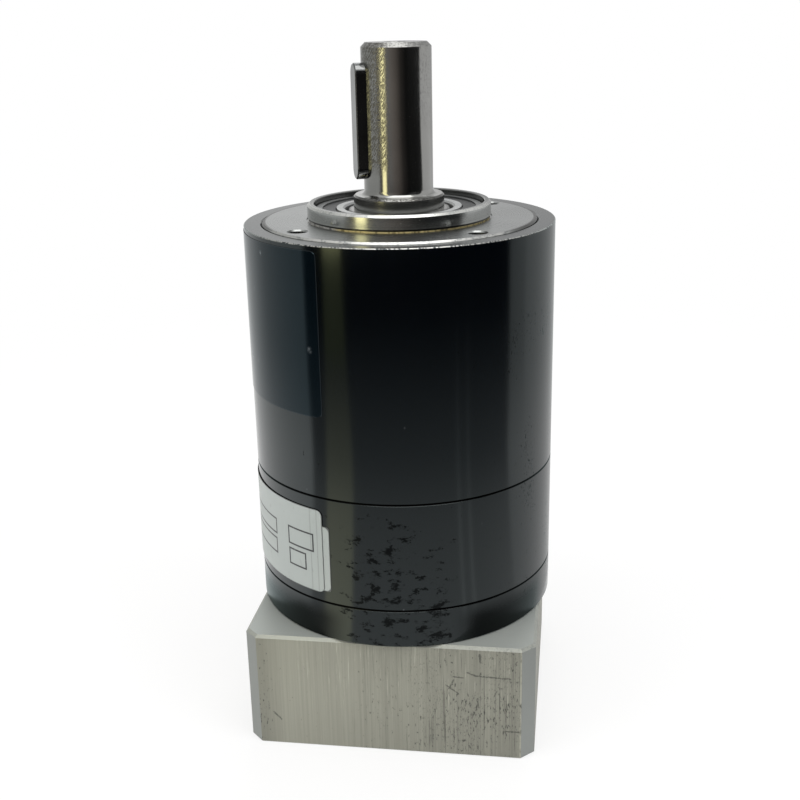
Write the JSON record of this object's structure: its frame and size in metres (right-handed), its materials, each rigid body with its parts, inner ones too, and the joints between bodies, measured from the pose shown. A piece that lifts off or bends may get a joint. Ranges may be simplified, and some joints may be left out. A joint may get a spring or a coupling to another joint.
{
  "type": "planetary gearbox",
  "caption": "Inline planetary servo gearbox: keyed output shaft and centring pilot on a black cylindrical body, square aluminium motor flange with a clamp hub.",
  "frame": {"origin": "centre of the motor flange's underside, on the common axis of the shafts", "axes": "+Z along the output shaft towards its free end; X and Y square to the motor flange's sides, with the clamp screw's access hole in the +Y side"},
  "size_m": [0.0863, 0.086, 0.1915],
  "materials": {
    "black_steel": "black oxide, semi-gloss",
    "flange_aluminium": "sawn and milled",
    "cover_steel": "turned, satin",
    "shaft_steel": "ground",
    "key_steel": "drawn, dark",
    "gear_steel": "case hardened, ground",
    "bearing_steel": "ground and polished",
    "cage_brass": "pressed",
    "washer_bronze": "lapped",
    "shield_steel": "pressed sheet, dull",
    "clip_steel": "phosphated spring steel",
    "screw_steel": "black oxide",
    "seal_rubber": "matte",
    "plug_plastic": "moulded",
    "sticker_foil": "printed film",
    "plate_foil": "metallised film"
  },
  "bodies": {
    "housing": {"motor_flange": "flange_aluminium", "input_flange": "black_steel", "input_ring_gear": "black_steel", "output_housing": "black_steel", "front_cover": "cover_steel", "body_screws": "screw_steel", "flange_screws": "screw_steel", "access_plug": "plug_plastic", "o_rings": "seal_rubber", "front_bearing_outer_race": "bearing_steel", "front_bearing_shields": "shield_steel", "rear_bearing_outer_race": "bearing_steel", "rear_bearing_circlip": "clip_steel", "input_bearing_outer_race": "bearing_steel", "input_bearing_shields": "shield_steel", "input_bearing_circlip": "clip_steel", "side_sticker": "sticker_foil", "rating_plate": "plate_foil", "rating_plate_under": "plate_foil"},
    "output": {"output_shaft": "shaft_steel", "shaft_key": "key_steel", "output_planet_pins": "bearing_steel", "output_planet_washers": "washer_bronze", "output_pin_clips": "clip_steel", "front_bearing_inner_race": "bearing_steel", "rear_bearing_inner_race": "bearing_steel", "bearing_spacer": "gear_steel"},
    "output_planet_1": {"output_planet_1": "gear_steel"},
    "output_rollers_1": {"output_needles_1": "bearing_steel"},
    "output_planet_2": {"output_planet_2": "gear_steel"},
    "output_rollers_2": {"output_needles_2": "bearing_steel"},
    "output_planet_3": {"output_planet_3": "gear_steel"},
    "output_rollers_3": {"output_needles_3": "bearing_steel"},
    "carrier": {"input_carrier": "gear_steel", "output_sun": "gear_steel", "input_planet_pins": "bearing_steel", "input_planet_washers": "washer_bronze", "input_pin_clips": "clip_steel"},
    "input_planet_1": {"input_planet_1": "gear_steel"},
    "input_rollers_1": {"input_needles_1": "bearing_steel"},
    "input_planet_2": {"input_planet_2": "gear_steel"},
    "input_rollers_2": {"input_needles_2": "bearing_steel"},
    "input_planet_3": {"input_planet_3": "gear_steel"},
    "input_rollers_3": {"input_needles_3": "bearing_steel"},
    "input": {"input_sun": "gear_steel", "clamp_collar": "gear_steel", "clamp_screw": "screw_steel", "input_bearing_inner_race": "bearing_steel", "input_shaft_circlip": "clip_steel"},
    "front_bearing_train": {"front_bearing_balls": "bearing_steel", "front_bearing_cage": "cage_brass"},
    "rear_bearing_train": {"rear_bearing_balls": "bearing_steel", "rear_bearing_cage": "cage_brass"},
    "input_bearing_train": {"input_bearing_balls": "bearing_steel", "input_bearing_cage": "cage_brass"}
  },
  "joints": [
    {"name": "output_spin", "type": "hinge", "parent": "housing", "child": "output", "pos_m": [0, 0, 0.131], "axis": [0, 0, 1], "continuous": true},
    {"name": "output_planet_1_spin", "type": "hinge", "parent": "output", "child": "output_planet_1", "pos_m": [0, 0.01875, 0.0919], "axis": [0, 0, 1], "continuous": true},
    {"name": "output_rollers_1_spin", "type": "hinge", "parent": "output", "child": "output_rollers_1", "pos_m": [0, 0.01875, 0.0919], "axis": [0, 0, 1], "continuous": true},
    {"name": "output_planet_2_spin", "type": "hinge", "parent": "output", "child": "output_planet_2", "pos_m": [-0.01624, -0.00937, 0.0919], "axis": [0, 0, 1], "continuous": true},
    {"name": "output_rollers_2_spin", "type": "hinge", "parent": "output", "child": "output_rollers_2", "pos_m": [-0.01624, -0.00937, 0.0919], "axis": [0, 0, 1], "continuous": true},
    {"name": "output_planet_3_spin", "type": "hinge", "parent": "output", "child": "output_planet_3", "pos_m": [0.01624, -0.00937, 0.0919], "axis": [0, 0, 1], "continuous": true},
    {"name": "output_rollers_3_spin", "type": "hinge", "parent": "output", "child": "output_rollers_3", "pos_m": [0.01624, -0.00937, 0.0919], "axis": [0, 0, 1], "continuous": true},
    {"name": "carrier_spin", "type": "hinge", "parent": "housing", "child": "carrier", "pos_m": [0, 0, 0.073], "axis": [0, 0, 1], "continuous": true},
    {"name": "input_planet_1_spin", "type": "hinge", "parent": "carrier", "child": "input_planet_1", "pos_m": [0, 0.01875, 0.0609], "axis": [0, 0, 1], "continuous": true},
    {"name": "input_rollers_1_spin", "type": "hinge", "parent": "carrier", "child": "input_rollers_1", "pos_m": [0, 0.01875, 0.0609], "axis": [0, 0, 1], "continuous": true},
    {"name": "input_planet_2_spin", "type": "hinge", "parent": "carrier", "child": "input_planet_2", "pos_m": [-0.01624, -0.00937, 0.0609], "axis": [0, 0, 1], "continuous": true},
    {"name": "input_rollers_2_spin", "type": "hinge", "parent": "carrier", "child": "input_rollers_2", "pos_m": [-0.01624, -0.00937, 0.0609], "axis": [0, 0, 1], "continuous": true},
    {"name": "input_planet_3_spin", "type": "hinge", "parent": "carrier", "child": "input_planet_3", "pos_m": [0.01624, -0.00937, 0.0609], "axis": [0, 0, 1], "continuous": true},
    {"name": "input_rollers_3_spin", "type": "hinge", "parent": "carrier", "child": "input_rollers_3", "pos_m": [0.01624, -0.00937, 0.0609], "axis": [0, 0, 1], "continuous": true},
    {"name": "input_spin", "type": "hinge", "parent": "housing", "child": "input", "pos_m": [0, 0, 0.041], "axis": [0, 0, 1], "continuous": true},
    {"name": "front_bearing_train_spin", "type": "hinge", "parent": "housing", "child": "front_bearing_train", "pos_m": [0, 0, 0.141], "axis": [0, 0, 1], "continuous": true},
    {"name": "rear_bearing_train_spin", "type": "hinge", "parent": "housing", "child": "rear_bearing_train", "pos_m": [0, 0, 0.1195], "axis": [0, 0, 1], "continuous": true},
    {"name": "input_bearing_train_spin", "type": "hinge", "parent": "housing", "child": "input_bearing_train", "pos_m": [0, 0, 0.041], "axis": [0, 0, 1], "continuous": true}
  ],
  "couplings": [
    {"joint": "output_planet_1_spin", "follows": "output_spin", "ratio": -2.6667},
    {"joint": "output_rollers_1_spin", "follows": "output_spin", "ratio": -1.704},
    {"joint": "output_planet_2_spin", "follows": "output_spin", "ratio": -2.6667},
    {"joint": "output_rollers_2_spin", "follows": "output_spin", "ratio": -1.704},
    {"joint": "output_planet_3_spin", "follows": "output_spin", "ratio": -2.6667},
    {"joint": "output_rollers_3_spin", "follows": "output_spin", "ratio": -1.704},
    {"joint": "carrier_spin", "follows": "output_spin", "ratio": 5},
    {"joint": "input_planet_1_spin", "follows": "output_spin", "ratio": -13.333},
    {"joint": "input_rollers_1_spin", "follows": "output_spin", "ratio": -8.5199},
    {"joint": "input_planet_2_spin", "follows": "output_spin", "ratio": -13.333},
    {"joint": "input_rollers_2_spin", "follows": "output_spin", "ratio": -8.5199},
    {"joint": "input_planet_3_spin", "follows": "output_spin", "ratio": -13.333},
    {"joint": "input_rollers_3_spin", "follows": "output_spin", "ratio": -8.5199},
    {"joint": "input_spin", "follows": "output_spin", "ratio": 25},
    {"joint": "front_bearing_train_spin", "follows": "output_spin", "ratio": 0.43506},
    {"joint": "rear_bearing_train_spin", "follows": "output_spin", "ratio": 0.41753},
    {"joint": "input_bearing_train_spin", "follows": "output_spin", "ratio": 10.877}
  ]
}
